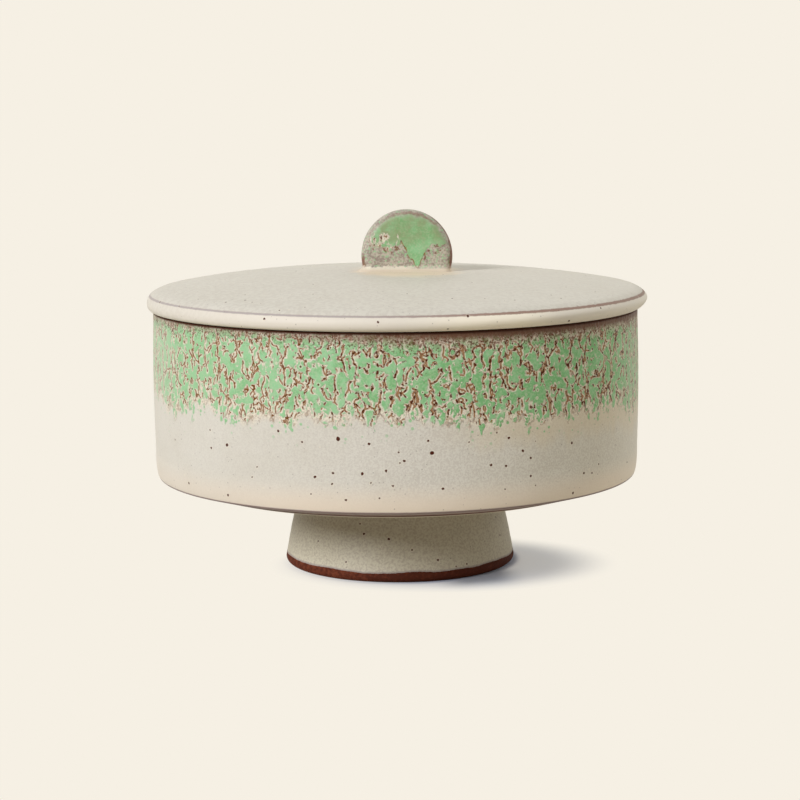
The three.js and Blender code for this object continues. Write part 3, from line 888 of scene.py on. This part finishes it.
def knob_material():
    """The knob: green over its faces, that runs down in two drops, over mottled cream; peach at its root."""
    material, tree, shader, position = new_material("knob_glaze")
    x, _, z = axis_parts(tree, position)
    aside = calc(tree, "SUBTRACT", x, KNOB_OFFSET / MM)
    up = calc(tree, "SUBTRACT", z, CROWN_Z / MM)
    centre = joined(tree, KNOB_OFFSET / MM, 0.0, KNOB_CENTRE_Z / MM)
    from_centre = vector_calc(tree, "DISTANCE", joined(tree, x, 0.0, z), centre)
    inward = calc(tree, "SUBTRACT", KNOB_RADIUS / MM, from_centre)

    # The green's edge: a wandering level, and the two runs where they reach lower
    colour, ripple = cream_colour(tree, position)
    wander = calc(tree, "MULTIPLY_ADD", noise(tree, position, 3.0, 4.0, 0.6), 9.0, -4.5)
    edge = calc(tree, "ADD", wander, KNOB_GREEN_EDGE)
    for middle, lowest, widening in (KNOB_LEFT_RUN, KNOB_RIGHT_RUN):
        away = calc(tree, "ABSOLUTE", calc(tree, "SUBTRACT", aside, middle))
        edge = calc(tree, "MINIMUM", edge, calc(tree, "MULTIPLY_ADD", away, widening, lowest))
    edge = calc(tree, "MULTIPLY_ADD", wander, 0.22, edge)
    fall = calc(tree, "SUBTRACT", up, edge)
    from_run = calc(tree, "ABSOLUTE", calc(tree, "SUBTRACT", aside, KNOB_RIGHT_RUN[0]))
    outline = calc(tree, "MAXIMUM", ramp(tree, from_run, 6.0, 3.6), 0.35)
    streaked = product(tree, ramp(tree, aside, 0.0, -4.0), ramp(tree, up, 13.0, 10.0))
    veins = calc(tree, "MULTIPLY_ADD", streaked, 0.7, 0.3)
    run = use(tree, RUN_GLAZE, Position=position, Fall=fall, Veins=veins, Tongues=0.35, Outline=outline)

    # Mottled cream with green and red-brown flecks, and the green over it
    raised = ramp(tree, up, 0.2, 1.0)
    stipple = ramp(tree, noise(tree, position, 0.6, 2.0), 0.40, 0.60, 0.0, 0.8)
    patches = ramp(tree, noise(tree, position, 2.6, 2.0), 0.46, 0.60, -0.15, 0.4)
    mottled = blend(tree, calc(tree, "ADD", stipple, patches, clamp=True), KNOB_GREY, KNOB_MAUVE)
    colour = coat(tree, colour, mottled, raised, 0.9)
    flecks = ramp(tree, noise(tree, moved(tree, position, (4.0, 9.0, 0.0)), 0.7, 2.0), 0.57, 0.64)
    colour = coat(tree, colour, GREEN_PALE, flecks, raised, 0.7)
    flecks = ramp(tree, noise(tree, moved(tree, position, (0.0, 3.0, 8.0)), 0.6, 2.0), 0.60, 0.68)
    colour = coat(tree, colour, BREAK_RED, flecks, raised, 0.25)
    face = ramp(tree, calc(tree, "MULTIPLY_ADD", wander, 0.3, inward), 0.7, 2.4)
    colour = run_over(tree, position, colour, run, product(tree, raised, face))
    spots = ramp(tree, noise(tree, moved(tree, position, (7.0, 0.0, 2.0)), 1.3, 1.0), 0.53, 0.63)
    lip = ramp(tree, calc(tree, "ABSOLUTE", calc(tree, "ADD", fall, 0.3)), 0.75, 0.25)
    colour = coat(tree, colour, KNOB_BREAK, spots, lip, raised, face, 0.8)
    worn = ramp(tree, noise(tree, position, 3.5, 4.0, 0.65), 0.35, 0.65, 0.2, 0.85)
    colour = coat(tree, colour, KNOB_OLIVE, worn, run["Green"], raised, face,
                  ramp(tree, up, 6.0, 11.0, 0.35, 1.0))
    colour = knob_rim(tree, position, colour, aside, up, inward, wander)

    # The root: a pale crest of glaze, made stronger on the lit left as a painted highlight, and peach where
    # it meets the lid
    crest_and_highlight = ramp(tree, calc(tree, "MULTIPLY_ADD", noise(tree, position, 0.9, 2.0), -2.0, up), 0.7, 0.2)
    colour = coat(tree, colour, HALO, crest_and_highlight, ramp(tree, aside, 4.0, -1.0, 0.3, 0.8))
    colour = coat(tree, colour, PEACH_DEEP, ramp(tree, up, 1.0, 0.3), 0.9)
    height = calc(tree, "MULTIPLY_ADD", run["Height"], 0.8, ripple)
    finish_surface(tree, shader, colour, KNOB_ROUGHNESS, height, 0.08)
    return material


# Shapes

def arc(r, z, spread, rise, start, end, steps=10):
    """Points of part of an ellipse in the (radius, height) plane."""
    turns = [start + (end - start) * i / steps for i in range(steps + 1)]
    return [(r + spread * math.cos(t), z + rise * math.sin(t)) for t in turns]


def dome(edge_radius, edge_z, rise, steps=60):
    """Points of a shallow dome from its edge to the axis: nearly flat in the middle, steeper to the edge."""
    shares = [1 - i / steps for i in range(steps + 1)]
    return [(edge_radius * share, edge_z + rise * (1 - share ** DOME_POWER)) for share in shares]


def side_points(radius_at, low, high, steps):
    """Points up a side between those heights, without its ends, from its radius at a share of its height."""
    return [(radius_at(i / steps), low + (high - low) * (i / steps)) for i in range(1, steps)]


def close_set(points, longest=0.8 * MM):
    """The same outline with points added, so that none is further than that from the next."""
    result = [points[0]]
    for a, b in zip(points, points[1:]):
        steps = max(1, math.ceil(math.dist(a, b) / longest))
        result += [(a[0] + (b[0] - a[0]) * i / steps, a[1] + (b[1] - a[1]) * i / steps)
                   for i in range(1, steps + 1)]
    return result


def turned_clay_tree():
    """Turns an outline round the upright axis, then presses the potter's rings and a slow wander into it.

    Only the clay between Low and High is worked, and only inwards. Aside moves the axis along X."""
    tree, given, result = new_group("turned_clay", "GeometryNodeTree", [
        ("Outline", "NodeSocketGeometry", None), ("Steps", "NodeSocketInt", 360),
        ("Ring Pitch", NUMBER, 3.0 * MM), ("Ring Depth", NUMBER, THROWN_DEPTH), ("Wander", NUMBER, 0.1 * MM),
        ("Low", NUMBER, 0.0), ("High", NUMBER, 0.1), ("Aside", NUMBER, 0.0), ("Seed", NUMBER, 0.0),
        ("Glaze", "NodeSocketMaterial", None)],
        [("Clay", "NodeSocketGeometry")])
    points = node(tree, "GeometryNodeAttributeDomainSize", {0: given["Outline"]}).outputs["Point Count"]
    columns = calc(tree, "ADD", given["Steps"], 1.0)
    grid = node(tree, "GeometryNodeMeshGrid", {
        "Size X": 1.0, "Size Y": 1.0, "Vertices X": columns, "Vertices Y": points})
    kept = node(tree, "GeometryNodeStoreNamedAttribute", {
        "Geometry": grid.outputs["Mesh"], "Name": "turn", "Value": grid.outputs["UV Map"]},
        data_type="FLOAT2", domain="CORNER")
    grid_x, grid_y, _ = axis_parts(tree, node(tree, "GeometryNodeInputPosition").outputs[0])
    angle = calc(tree, "MULTIPLY", calc(tree, "ADD", grid_x, 0.5), 2 * math.pi)
    last = calc(tree, "SUBTRACT", points, 1.0)
    index = calc(tree, "ROUND", calc(tree, "MULTIPLY", calc(tree, "ADD", grid_y, 0.5), last))
    sampled = node(tree, "GeometryNodeSampleIndex", {
        "Geometry": given["Outline"], "Value": node(tree, "GeometryNodeInputPosition").outputs[0],
        "Index": index}, data_type="FLOAT_VECTOR", domain="POINT")
    radius, _, height = axis_parts(tree, sampled.outputs[0])
    across = product(tree, radius, calc(tree, "COSINE", angle))
    along = product(tree, radius, calc(tree, "SINE", angle))
    round_form = node(tree, "GeometryNodeSetPosition", {
        "Geometry": kept.outputs[0], "Position": joined(tree, across, along, height)})
    closed = node(tree, "GeometryNodeMergeByDistance", {
        "Geometry": round_form.outputs[0], "Distance": 0.001 * MM})

    spot = node(tree, "GeometryNodeInputPosition").outputs[0]
    x, y, z = axis_parts(tree, spot)
    turn = calc(tree, "DIVIDE", calc(tree, "ARCTAN2", y, x), 2 * math.pi)
    out = vector_calc(tree, "LENGTH", joined(tree, x, y, 0.0))
    climb = calc(tree, "DIVIDE", calc(tree, "ADD", out, z), given["Ring Pitch"])
    phase = calc(tree, "MULTIPLY", calc(tree, "ADD", climb, turn), 2 * math.pi)
    seeded = vector_calc(tree, "ADD", spot, joined(tree, given["Seed"], given["Seed"], 0.0))
    rings = ramp(tree, calc(tree, "SINE", phase), -1.0, 1.0)
    rings = product(tree, rings, given["Ring Depth"], noise(tree, seeded, 12 * MM))
    wander = product(tree, noise(tree, seeded, 60 * MM, 1.0), given["Wander"])
    low_end = calc(tree, "SUBTRACT", z, given["Low"])
    high_end = calc(tree, "SUBTRACT", given["High"], z)
    worked = ramp(tree, calc(tree, "MINIMUM", low_end, high_end), 0.0, 1.5 * MM, 0.0, -1.0)
    normal = node(tree, "GeometryNodeInputNormal").outputs[0]
    push = vector_calc(tree, "SCALE", normal, scale=product(tree, calc(tree, "ADD", rings, wander), worked))
    shift = vector_calc(tree, "ADD", push, joined(tree, given["Aside"], 0.0, 0.0))
    pressed = node(tree, "GeometryNodeSetPosition", {"Geometry": closed.outputs[0], "Offset": shift})
    smooth = node(tree, "GeometryNodeSetShadeSmooth", {"Geometry": pressed.outputs[0]})
    real = node(tree, "GeometryNodeRealizeInstances", {"Geometry": smooth.outputs[0]})
    glazed = node(tree, "GeometryNodeSetMaterial", {"Geometry": real.outputs[0], "Material": given["Glaze"]})
    feed(tree, result["Clay"], glazed.outputs[0])
    return tree


def lay_out_map(mesh, outline, bands):
    """The map that a picture of the glaze is made on, where each band of the outline is full-width strips.

    A band is (points, cuts, share): how many of the outline's points it takes, how many strips it is cut
    into round the axis, and the share of the map's height that each strip gets."""
    turn = np.zeros(len(mesh.loops) * 2)
    mesh.attributes["turn"].data.foreach_get("vector", turn)
    turn = turn.reshape(-1, 2)
    face_start = np.zeros(len(mesh.polygons), int)
    mesh.polygons.foreach_get("loop_start", face_start)
    face_total = np.zeros(len(mesh.polygons), int)
    mesh.polygons.foreach_get("loop_total", face_total)
    owner = np.repeat(np.arange(len(mesh.polygons)), face_total)
    row = np.round(turn[:, 1] * (len(outline) - 1)).astype(int)
    face_row = np.minimum.reduceat(row, face_start)[owner]
    face_turn = (np.add.reduceat(turn[:, 0], face_start) / face_total)[owner]
    steps = [math.dist(a, b) for a, b in zip(outline, outline[1:])]
    length = np.concatenate([[0.0], np.cumsum(steps)])

    gap = 0.004
    scale = (1 - gap) / sum(cuts * share for _, cuts, share in bands)
    places = np.zeros((len(mesh.loops), 2))
    first, level = 0, gap
    for points, cuts, share in bands:
        last = min(first + points, len(outline) - 1)
        mine = (face_row >= first) & (face_row < last)
        strip = np.clip((face_turn * cuts).astype(int), 0, cuts - 1)
        across = turn[:, 0] * cuts - strip
        up = (length[row] - length[first]) / (length[last] - length[first])
        tall = share * scale
        u = gap + across * (1 - 2 * gap)
        v = level + strip * tall + up * (tall - gap)
        places[mine] = np.stack([u, v], axis=1)[mine]
        first = last
        level += cuts * tall
    layer = mesh.uv_layers.new(name="OFBake")
    layer.data.foreach_set("uv", places.ravel())
    mesh.attributes.remove(mesh.attributes["turn"])


def add_object(name, data):
    """A new object in the scene, with that data."""
    made = bpy.data.objects.new(name, data)
    bpy.context.scene.collection.objects.link(made)
    return made


def turn_piece(name, spans, **settings):
    """A turned piece from the spans of its outline: each span is (points, cuts, share), as for the map.

    The settings are the inputs of the turning tree, with _ for a space."""
    outline = []
    bands = []
    for points, cuts, share in spans:
        dense = close_set(([outline[-1]] if outline else []) + points)
        fresh = dense[1:] if outline else dense
        outline += fresh
        bands.append((len(fresh) if len(bands) else len(fresh) - 1, cuts, share))
    mesh = bpy.data.meshes.new(name + "_outline")
    edges = [(i, i + 1) for i in range(len(outline) - 1)]
    mesh.from_pydata([(r, 0.0, z) for r, z in outline], edges, [])
    source = add_object(name + "_outline", mesh)
    modifier = source.modifiers.new("turn", "NODES")
    modifier.node_group = TURNED_CLAY
    for item in TURNED_CLAY.interface.items_tree:
        title = item.name.replace(" ", "_")
        if item.in_out == "INPUT" and title in settings:
            modifier[item.identifier] = settings[title]
    ready = source.evaluated_get(bpy.context.evaluated_depsgraph_get())
    turned = bpy.data.meshes.new_from_object(ready)
    turned.name = name
    source.modifiers.remove(modifier)
    bpy.data.objects.remove(source)
    lay_out_map(turned, outline, bands)
    return add_object(name, turned)


def basin_spans():
    floor_z = UNDERSIDE_Z + BASIN_FLOOR
    rim_radius = BASIN_RADIUS - WALL_DRAWN_IN
    underside = [(0.0, UNDERSIDE_Z), (UNDERCUT_RADIUS + UNDERCUT_SPREAD, UNDERSIDE_Z)]
    wall = arc(BASIN_RADIUS - BASIN_TUCK, TUCK_Z, BASIN_TUCK, TUCK_Z - CORNER_Z, -QUARTER, 0, 16)
    wall += side_points(wall_side, TUCK_Z, LIP_Z, 24)
    wall += arc(rim_radius - LIP_RADIUS, LIP_Z, LIP_RADIUS, LIP_RADIUS, 0, QUARTER)
    wall += [((rim_radius + BORE_RADIUS) / 2, RIM_Z)]
    inside = arc(BORE_RADIUS + LIP_RADIUS, LIP_Z, LIP_RADIUS, LIP_RADIUS, QUARTER, 2 * QUARTER)
    sweep = (BORE_RADIUS - SWEEP_RADIUS, floor_z + SWEEP_RADIUS, SWEEP_RADIUS, SWEEP_RADIUS)
    inside += arc(*sweep, 0, -QUARTER, 16)
    floor = [(0.0, floor_z)]
    return [(underside, 1, 0.08), (wall, 3, 0.24), (inside, 1, 0.12), (floor, 1, 0.08)]


def foot_spans():
    base = FOOT_BASE_RADIUS - FOOT_EDGE
    bore = FOOT_BASE_RADIUS - FOOT_WALL + FOOT_BORE_EDGE
    outside = arc(base, FOOT_EDGE, FOOT_EDGE, FOOT_EDGE, -QUARTER, 0)
    outside += side_points(foot_side, FOOT_EDGE, COVE_Z, 16)
    outside += arc(FOOT_TOP_RADIUS + FOOT_COVE, COVE_Z, FOOT_COVE, FOOT_COVE, 2 * QUARTER, QUARTER)
    top = [(FOOT_TOP_RADIUS - FOOT_WALL, FOOT_TOP_Z)]
    inside = arc(bore, FOOT_BORE_EDGE, FOOT_BORE_EDGE, FOOT_BORE_EDGE, 2 * QUARTER, 3 * QUARTER)
    inside += [(base, 0.0)]
    return [(outside, 2, 0.28), (top, 1, 0.06), (inside, 1, 0.3)]


def lid_spans():
    hollow = dome(RING_INNER, RIM_Z, CROWN_Z - LID_THICKNESS - RIM_Z)[::-1]
    edge = arc(LID_RADIUS - LOWER_EDGE_SPREAD, LID_WIDEST_Z, LOWER_EDGE_SPREAD, LOWER_EDGE_RISE, -QUARTER, 0)
    edge += arc(SHOULDER_CENTRE, LID_WIDEST_Z, SHOULDER_SPREAD, SHOULDER_RISE, 0, SHOULDER_TURN, 20)[1:-1]
    top = dome(DOME_RADIUS, DOME_EDGE_Z, DOME_RISE)
    return [(hollow, 1, 0.12), (edge, 2, 0.12), (top, 2, 0.3)]


def lean_lid(mesh):
    """The lid is thinner on its right: its top is lower there, and its overhanging lower edge higher."""
    for vert in mesh.vertices:
        x, y, z = vert.co
        overhang = min(1.0, max(0.0, (math.hypot(x, y) - LEAN_FROM) / (LID_RADIUS - LEAN_FROM)))
        share = 1.0 if z > LEAN_Z else LOWER_EDGE_LEAN * overhang
        if x > 0 or z < LEAN_Z:
            vert.co.z -= LID_LEAN * x / MM * (z - LEAN_Z) * share


def ring_spans():
    low = RING_LOW_Z + RING_EDGE
    profile = [(RING_OUTER, RIM_Z), (RING_INNER, RIM_Z)]
    profile += arc(RING_INNER + RING_EDGE, low, RING_EDGE, RING_EDGE, 2 * QUARTER, 3 * QUARTER)
    profile += arc(RING_OUTER - RING_EDGE, low, RING_EDGE, RING_EDGE, -QUARTER, 0)
    profile += [(RING_OUTER, RIM_Z)]
    return [(profile, 3, 0.33)]


def dome_height(x, y):
    """How high the lid's top is there."""
    return DOME_EDGE_Z + DOME_RISE * (1 - (math.hypot(x, y) / DOME_RADIUS) ** DOME_POWER)


def round_tab(steps=300):
    """The knob's disc on its edge, with rounded rims, its middle at the knob's place."""
    half = KNOB_THICKNESS / 2
    rim = KNOB_RADIUS - KNOB_EDGE
    side = half - KNOB_EDGE
    outline = [(0.0, -half), (rim, -half)]
    outline += arc(rim, -side, KNOB_EDGE, KNOB_EDGE, -QUARTER, 0, 12)[1:]
    outline += arc(rim, side, KNOB_EDGE, KNOB_EDGE, 0, QUARTER, 12)
    outline += [(0.0, half)]
    outline = close_set(outline, 0.3 * MM)
    work = bmesh.new()
    rings = []
    for radius, depth in outline:
        ring = []
        for i in range(steps if radius > 0 else 1):
            turn = 2 * math.pi * i / steps
            across, up = radius * math.cos(turn), radius * math.sin(turn)
            ring.append(work.verts.new((KNOB_OFFSET + across, depth, KNOB_CENTRE_Z + up)))
        rings.append(ring)
    for a, b in zip(rings, rings[1:]):
        for i in range(steps):
            j = (i + 1) % steps
            if len(a) == 1:
                work.faces.new((a[0], b[i], b[j]))
            elif len(b) == 1:
                work.faces.new((a[i], b[0], a[j]))
            else:
                work.faces.new((a[i], b[i], b[j], a[j]))
    return work


def flare_root(work):
    """Draws the lowest clay of the knob outwards along a quarter circle, where z is the height on the lid."""
    reach = KNOB_RADIUS - KNOB_EDGE - 1.0 * MM
    for vert in work.verts:
        rise = max(0.0, vert.co.z)
        if rise < KNOB_FILLET:
            flare = KNOB_FILLET - math.sqrt(max(0.0, KNOB_FILLET ** 2 - (KNOB_FILLET - rise) ** 2))
            spine = max(-reach, min(reach, vert.co.x - KNOB_OFFSET)) + KNOB_OFFSET
            away = Vector((vert.co.x - spine, vert.co.y, 0.0))
            if away.length > KNOB_THICKNESS / 4:
                away = away.normalized() * flare
                away.x *= FLARE_RIGHT if away.x > 0 else FLARE_LEFT
                vert.co += away


def knob_piece(material):
    """The knob: a round tab, cut to the lid's dome, whose root is drawn out into the clay of the lid."""
    work = round_tab()
    for vert in work.verts:
        vert.co.z -= dome_height(vert.co.x, vert.co.y)
    cut = bmesh.ops.bisect_plane(work, geom=work.verts[:] + work.edges[:] + work.faces[:], dist=1e-7,
                                 plane_co=(0, 0, -KNOB_SUNK), plane_no=(0, 0, 1), clear_inner=True)
    rim_edges = [e for e in cut["geom_cut"] if isinstance(e, bmesh.types.BMEdge)]
    bmesh.ops.contextual_create(work, geom=rim_edges)
    flare_root(work)
    for vert in work.verts:
        x, y, _ = vert.co
        dome_z = dome_height(x, y)
        vert.co.z += dome_z - LID_LEAN * max(0.0, x) / MM * (dome_z - LEAN_Z)
    bmesh.ops.recalc_face_normals(work, faces=work.faces[:])
    mesh = bpy.data.meshes.new("knob_tab")
    work.to_mesh(mesh)
    work.free()
    mesh.materials.append(material)
    mesh.shade_smooth()
    return add_object("knob_tab", mesh)


def stand_in(piece, body, node_name):
    """The piece rides on the body and is seen instead of the CAD node."""
    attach(piece, body)
    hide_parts(node_name)


# Stage

def floor_material():
    """A pale floor that the camera sees in the backdrop's own colour, with the bowl's shadow by the foot and
    a painted shadow at the foot's front right.
    """
    material = bpy.data.materials.new("pale_floor")
    tree = empty_tree(material)
    x, y, _ = axis_parts(tree, position_in_mm(tree))
    across = calc(tree, "DIVIDE", calc(tree, "SUBTRACT", x, SHADOW_MIDDLE[0]), SHADOW_SPREAD[0])
    along = calc(tree, "DIVIDE", calc(tree, "SUBTRACT", y, SHADOW_MIDDLE[1]), SHADOW_SPREAD[1])
    away = vector_calc(tree, "LENGTH", joined(tree, across, along, 0.0))
    from_foot = joined(tree, calc(tree, "SUBTRACT", x, FOOT_ASIDE / MM), y, 0.0)
    by_foot = calc(tree, "SUBTRACT", vector_calc(tree, "LENGTH", from_foot), FOOT_BASE_RADIUS / MM)
    front_right = product(tree, ramp(tree, x, *DEEPEST_LEFT), ramp(tree, x, *DEEPEST_RIGHT),
                          ramp(tree, y, *DEEPEST_BACK))
    thinned = product(tree, ramp(tree, by_foot, 0.0, SHADOW_BY_FOOT), rest_of(tree, front_right),
                      1.0 - SHADOW_DEPTH)
    near = product(tree, ramp(tree, away, 1.0, 0.6), rest_of(tree, thinned))
    # Painted shadow: the floor's colour turns grey close to the front right of the foot
    painted_shadow = product(tree, front_right, ramp(tree, by_foot, *DEEPEST_REACH), DEEPEST_SHARE)
    grey = node(tree, "ShaderNodeBsdfDiffuse", {"Color": blend(tree, painted_shadow, FLOOR_SEEN, FLOOR_PAINTED_SHADOW)})
    pale = node(tree, "ShaderNodeEmission", {"Color": BACKDROP, "Strength": 1.0})
    seen = mixed_shaders(tree, near, pale, grey)
    bounce = node(tree, "ShaderNodeBsdfDiffuse", {"Color": FLOOR_BOUNCE})
    mirrored = node(tree, "ShaderNodeEmission", {"Color": BACKDROP, "Strength": MIRRORED})
    far = ramp(tree, away, 1.0, 1.6)
    rays = node(tree, "ShaderNodeLightPath").outputs
    glossy = mixed_shaders(tree, product(tree, rays["Is Glossy Ray"], far), bounce, mirrored)
    whole = mixed_shaders(tree, rays["Is Camera Ray"], glossy, seen)
    node(tree, "ShaderNodeOutputMaterial", {"Surface": whole.outputs[0]})
    return material


def build_floor():
    mesh = bpy.data.meshes.new("floor")
    corners = [(FLOOR_REACH * x, FLOOR_REACH * y, 0) for x, y in ((-1, -1), (1, -1), (1, 1), (-1, 1))]
    mesh.from_pydata(corners, [], [(0, 1, 2, 3)])
    mesh.materials.append(floor_material())
    floor = add_object("floor", mesh)


def build_light():
    """Soft light from behind and from high on the right, and a softly edged light from the front left."""
    world = bpy.data.worlds.new("room")
    bpy.context.scene.world = world
    tree = empty_tree(world)
    direction = node(tree, "ShaderNodeTexCoord").outputs["Generated"]
    right, away, up = axis_parts(tree, direction)
    behind = product(tree, ramp(tree, away, *BEHIND_AWAY), ramp(tree, up, *BEHIND_UP),
                     ramp(tree, up, *BEHIND_FADED), ROOM_BEHIND)
    above = product(tree, ramp(tree, up, *ABOVE_UP), ramp(tree, right, *ABOVE_RIGHT), ROOM_ABOVE)
    beside = product(tree, ramp(tree, up, *BESIDE_UP), ramp(tree, right, *BESIDE_RIGHT), ROOM_RIGHT)
    strength = calc(tree, "MAXIMUM", calc(tree, "MAXIMUM", behind, above), beside)
    room = node(tree, "ShaderNodeBackground", {"Color": ROOM_TINT, "Strength": strength})
    backdrop = node(tree, "ShaderNodeBackground", {"Color": BACKDROP, "Strength": 1.0})
    mirrored = node(tree, "ShaderNodeBackground", {"Color": BACKDROP, "Strength": MIRRORED})
    rays = node(tree, "ShaderNodeLightPath").outputs
    lighting = mixed_shaders(tree, rays["Is Glossy Ray"], room, mirrored)
    whole = mixed_shaders(tree, rays["Is Camera Ray"], lighting, backdrop)
    node(tree, "ShaderNodeOutputWorld", {"Surface": whole.outputs[0]})

    lamp = bpy.data.lights.new("key", "SUN")
    lamp.energy = KEY_POWER
    lamp.angle = math.radians(KEY_WIDTH)
    lamp.color = KEY_COLOUR
    key = add_object("key", lamp)
    key.rotation_euler = (math.radians(90 - KEY_ELEVATION), 0.0, math.radians(KEY_TURN))


def build_camera():
    data = bpy.data.cameras.new("camera")
    data.sensor_width = SENSOR
    data.lens = FOCAL_PIXELS / IMAGE_SIDE * SENSOR
    camera = add_object("camera", data)
    camera.location = (CAMERA_ASIDE, -CAMERA_DISTANCE, CAMERA_HEIGHT)
    camera.rotation_euler = camera_turn().to_euler()
    bpy.context.scene.camera = camera


TURNED_CLAY = turned_clay_tree()

build_camera()
build_light()
build_floor()

basin = turn_piece("basin", basin_spans(), Glaze=basin_material(), Steps=280, Seed=1.0, Aside=BASIN_ASIDE,
                   Ring_Pitch=3.4 * MM, Low=TUCK_Z, High=RIM_Z - 1.5 * MM)
stand_in(basin, "bowl", "bowl_basin")
foot = turn_piece("foot", foot_spans(), Glaze=foot_material(), Steps=240, Seed=2.0, Aside=FOOT_ASIDE,
                  Wander=0.08 * MM, Low=2.5 * MM, High=FOOT_TOP_Z - 1.5 * MM)
stand_in(foot, "bowl", "pedestal_foot")
lid = turn_piece("lid", lid_spans(), Glaze=lid_material(), Steps=300, Seed=3.0,
                 Ring_Pitch=2.6 * MM, Low=LID_WIDEST_Z, High=2 * CROWN_Z)
lean_lid(lid.data)
stand_in(lid, "lid", "lid_plate")
ring = turn_piece("locating_ring", ring_spans(), Glaze=clay_material(), Steps=240, Seed=4.0,
                  Ring_Pitch=2.2 * MM, Wander=0.05 * MM, Low=RING_LOW_Z, High=RIM_Z - 1.0 * MM)
stand_in(ring, "lid", "lid_locating_ring")
knob = knob_piece(knob_material())
stand_in(knob, "lid", "lid_knob")

bpy.context.scene.view_settings.view_transform = "Standard"
